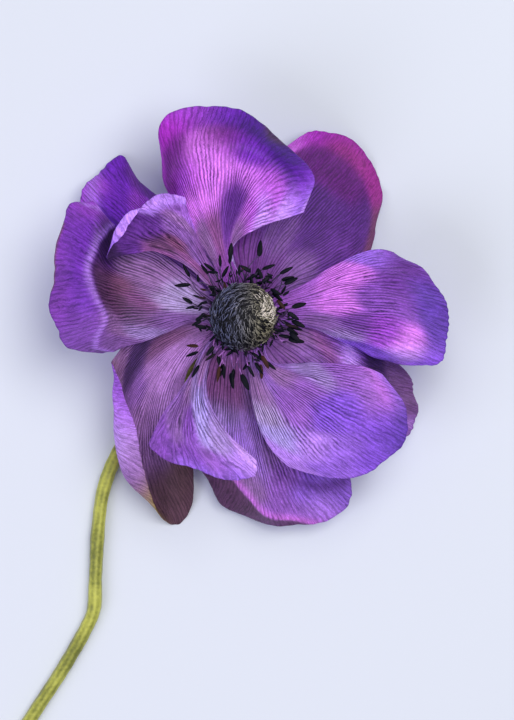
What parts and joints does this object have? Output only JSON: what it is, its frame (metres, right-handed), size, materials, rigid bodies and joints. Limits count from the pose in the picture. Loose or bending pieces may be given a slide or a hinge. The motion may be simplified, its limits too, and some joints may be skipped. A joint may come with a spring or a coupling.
{
  "type": "anemone flower",
  "caption": "Violet garden anemone as picked, lying face up, with loose crinkled tepals round a dark domed centre and a bent green stem",
  "frame": {"origin": "the bottom centre of the whole flower's box as it lies, so z = 0 is the surface that the stem and the back tepals rest on", "axes": "+Z points out of the flower's face, up from the surface; +Y is the top of the flower as it is looked at, and the stem runs away towards -Y; +X is to the right"},
  "size_m": [0.1114, 0.164, 0.0287],
  "materials": {
    "tepal": "soft satin, finely veined",
    "pistil": "dull, densely bristled",
    "stamen": "matt, finely grained",
    "receptacle": "matt",
    "stem": "satin, finely ribbed and hairy"
  },
  "bodies": {
    "root": {"stem": "stem", "receptacle": "receptacle", "pistil": "pistil", "tepal_upper_left": "tepal", "tepal_lower_front": "tepal", "tepal_lower_right": "tepal", "tepal_top": "tepal", "tepal_left": "tepal", "tepal_right": "tepal", "tepal_upper_right": "tepal", "tepal_upper_left_back": "tepal", "tepal_lower_left": "tepal", "tepal_bottom": "tepal", "tepal_right_back": "tepal", "stamen_01": "stamen", "stamen_02": "stamen", "stamen_03": "stamen", "stamen_04": "stamen", "stamen_05": "stamen", "stamen_06": "stamen", "stamen_07": "stamen", "stamen_08": "stamen", "stamen_09": "stamen", "stamen_10": "stamen", "stamen_11": "stamen", "stamen_12": "stamen", "stamen_13": "stamen", "stamen_14": "stamen", "stamen_15": "stamen", "stamen_16": "stamen", "stamen_17": "stamen", "stamen_18": "stamen", "stamen_19": "stamen", "stamen_20": "stamen", "stamen_21": "stamen", "stamen_22": "stamen", "stamen_23": "stamen", "stamen_24": "stamen", "stamen_25": "stamen", "stamen_26": "stamen", "stamen_27": "stamen", "stamen_28": "stamen", "stamen_29": "stamen", "stamen_30": "stamen", "stamen_31": "stamen", "stamen_32": "stamen", "stamen_33": "stamen", "stamen_34": "stamen", "stamen_35": "stamen", "stamen_36": "stamen", "stamen_37": "stamen", "stamen_38": "stamen", "stamen_39": "stamen", "stamen_40": "stamen", "stamen_41": "stamen", "stamen_42": "stamen", "stamen_43": "stamen", "stamen_44": "stamen"}
  },
  "joints": []
}
